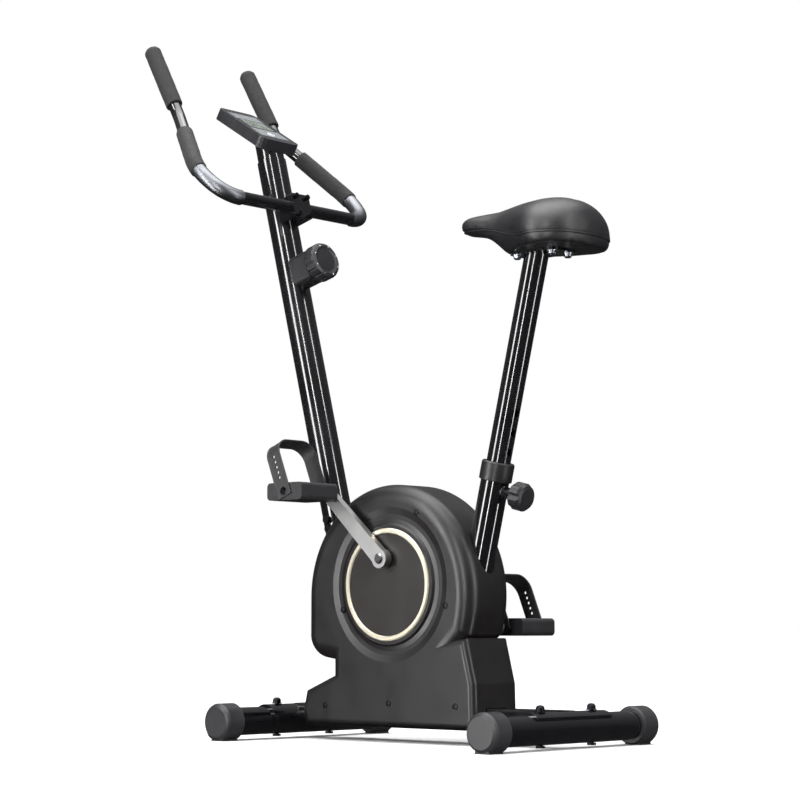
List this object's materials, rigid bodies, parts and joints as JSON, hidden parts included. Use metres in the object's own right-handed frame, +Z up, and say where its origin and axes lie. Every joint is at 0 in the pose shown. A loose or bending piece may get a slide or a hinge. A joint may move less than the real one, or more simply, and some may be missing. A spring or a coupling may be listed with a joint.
{
  "type": "exercise bike",
  "caption": "Upright magnetic exercise bike with a leaning post, curved handlebar, height-adjustable saddle and strapped pedals.",
  "frame": {"origin": "on the floor, at the middle of the bike's overall length and width", "axes": "+X the way the rider faces, +Y the rider's left, +Z up"},
  "size_m": [0.9028, 0.4, 1.205],
  "materials": {
    "black_enamel": "gloss",
    "cap_plastic": "satin",
    "roller_plastic": "matte",
    "casing_plastic": "satin gloss",
    "champagne_trim": "satin metallic",
    "disc_plastic": "satin",
    "zinc_steel": "bright",
    "black_zinc": "satin",
    "bearing_steel": "ground",
    "crank_silver": "polished",
    "pulley_plastic": "matte",
    "belt_rubber": "matte",
    "cast_flywheel": "machined",
    "carrier_steel": "satin",
    "magnet_nickel": "plated",
    "spring_wire": "oiled",
    "cable_sheath": "satin",
    "pedal_plastic": "textured",
    "strap_rubber": "satin",
    "moulded_black": "satin",
    "knob_plastic": "fine texture",
    "grip_foam": "foam",
    "sensor_metal": "brushed",
    "console_plastic": "satin",
    "console_glass": "gloss",
    "button_plastic": "satin",
    "saddle_vinyl": "grained"
  },
  "bodies": {
    "frame": {"base_tube": "black_enamel", "front_riser": "black_enamel", "seat_tube": "black_enamel", "bb_shell": "black_enamel", "frame_struts": "black_enamel", "flywheel_plates": "black_enamel", "front_stabiliser": "black_enamel", "rear_stabiliser": "black_enamel", "front_bracket": "black_enamel", "rear_bracket": "black_enamel", "handlebar_post": "black_enamel", "console_mount": "black_enamel", "clamp_base": "black_enamel", "clamp_cap": "black_enamel", "front_cap_left": "cap_plastic", "front_cap_right": "cap_plastic", "rear_cap_left": "cap_plastic", "rear_cap_right": "cap_plastic", "casing_left": "casing_plastic", "casing_right": "casing_plastic", "casing_rings": "champagne_trim", "casing_discs": "disc_plastic", "frame_bolts": "black_zinc", "casing_screws": "black_zinc", "bearings": "bearing_steel", "drive_belt": "belt_rubber", "magnet_spring": "spring_wire", "tension_cable": "cable_sheath", "tension_housing": "moulded_black", "seat_bushing": "moulded_black", "console_body": "console_plastic", "console_face": "console_glass"},
    "crank": {"crank_axle": "bearing_steel", "crank_left": "crank_silver", "crank_right": "crank_silver", "drive_pulley": "pulley_plastic", "pedal_spindles": "bearing_steel"},
    "left_pedal": {"pedal_left": "pedal_plastic", "strap_left": "strap_rubber"},
    "right_pedal": {"pedal_right": "pedal_plastic", "strap_right": "strap_rubber"},
    "flywheel": {"flywheel": "cast_flywheel", "flywheel_shaft": "bearing_steel"},
    "magnet_arm": {"magnet_carrier": "carrier_steel", "magnets": "magnet_nickel"},
    "load_knob": {"tension_knob": "knob_plastic"},
    "seat": {"seat_post": "black_enamel", "saddle_plate": "black_enamel", "saddle_pan": "moulded_black", "saddle_cushion": "saddle_vinyl", "saddle_bolts": "zinc_steel"},
    "handlebar": {"handlebar_tube": "black_enamel", "hand_grips": "grip_foam", "arm_grips": "grip_foam", "pulse_sensors": "sensor_metal"},
    "seat_lock": {"seat_knob": "knob_plastic"},
    "left_roller": {"roller_left": "roller_plastic"},
    "right_roller": {"roller_right": "roller_plastic"},
    "mode_button": {"console_button": "button_plastic"}
  },
  "joints": [
    {"name": "crank_spin", "type": "hinge", "parent": "frame", "child": "crank", "pos_m": [-0.07456, 0, 0.29], "axis": [0, 1, 0], "continuous": true},
    {"name": "left_pedal_spin", "type": "hinge", "parent": "crank", "child": "left_pedal", "pos_m": [0.04378, 0.13, 0.39768], "axis": [0, 1, 0], "continuous": true},
    {"name": "right_pedal_spin", "type": "hinge", "parent": "crank", "child": "right_pedal", "pos_m": [-0.1929, -0.13, 0.18232], "axis": [0, 1, 0], "continuous": true},
    {"name": "flywheel_spin", "type": "hinge", "parent": "frame", "child": "flywheel", "pos_m": [-0.07456, 0, 0.165], "axis": [0, 1, 0], "continuous": true},
    {"name": "magnet_swing", "type": "hinge", "parent": "frame", "child": "magnet_arm", "pos_m": [-0.13691, 0, 0.09069], "axis": [0, 1, 0], "range_deg": [-0.5, 5]},
    {"name": "load_turn", "type": "hinge", "parent": "frame", "child": "load_knob", "pos_m": [0.14394, 0, 0.79444], "axis": [-0.9674, 0, 0.2534], "range_deg": [0, 315]},
    {"name": "seat_height", "type": "slide", "parent": "frame", "child": "seat", "axis": [-0.2407, 0, 0.9706], "range_m": [-0.12, 0.09]},
    {"name": "handlebar_tilt", "type": "hinge", "parent": "frame", "child": "handlebar", "pos_m": [0.19044, 0, 0.898], "axis": [0, 1, 0], "range_deg": [-12, 12]},
    {"name": "seat_lock_pull", "type": "slide", "parent": "frame", "child": "seat_lock", "axis": [-0.9706, 0, -0.2407], "range_m": [0, 0.01], "stiffness_N_per_m": 500, "springref_m": -0.004},
    {"name": "left_roller_spin", "type": "hinge", "parent": "frame", "child": "left_roller", "pos_m": [0.18844, 0.184, 0.016], "axis": [0, 1, 0], "continuous": true},
    {"name": "right_roller_spin", "type": "hinge", "parent": "frame", "child": "right_roller", "pos_m": [0.18844, -0.184, 0.016], "axis": [0, 1, 0], "continuous": true},
    {"name": "mode_press", "type": "slide", "parent": "frame", "child": "mode_button", "axis": [0.5299, 0, -0.848], "range_m": [0, 0.0015], "stiffness_N_per_m": 400, "springref_m": -0.001}
  ],
  "couplings": [
    {"joint": "flywheel_spin", "follows": "crank_spin", "ratio": 7.3077},
    {"joint": "magnet_swing", "follows": "load_turn", "ratio": 0.014286}
  ]
}
